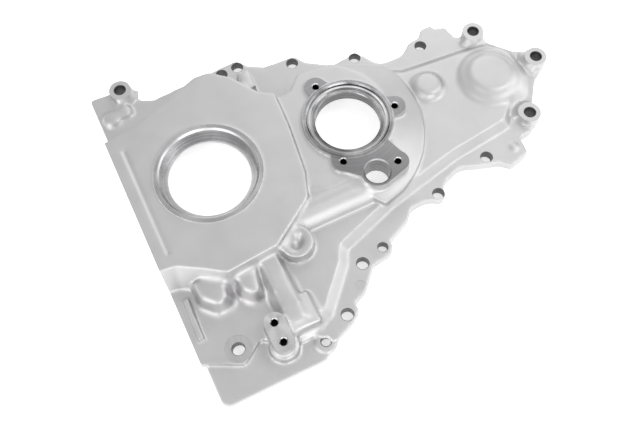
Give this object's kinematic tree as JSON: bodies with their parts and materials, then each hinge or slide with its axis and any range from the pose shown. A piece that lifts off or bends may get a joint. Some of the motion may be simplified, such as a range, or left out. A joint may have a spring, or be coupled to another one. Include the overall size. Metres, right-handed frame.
{
  "type": "timing cover",
  "caption": "Cast aluminium timing gear cover with a crankshaft seal bore, a stepped pump bore with eared pad, a round gear bulge and a lugged bolt flange.",
  "frame": {"origin": "on the crankshaft's axis, in the plane of the gasket face", "axes": "+Z out of the engine through the seal bore, +X from the sump rail to the far tip, +Y along the sump rail"},
  "size_m": [0.3477, 0.2737, 0.0308],
  "materials": {
    "cast_aluminium": "satin die-cast skin, with machined pad, rings and bores"
  },
  "bodies": {
    "root": {"timing_cover": "cast_aluminium"}
  },
  "joints": []
}
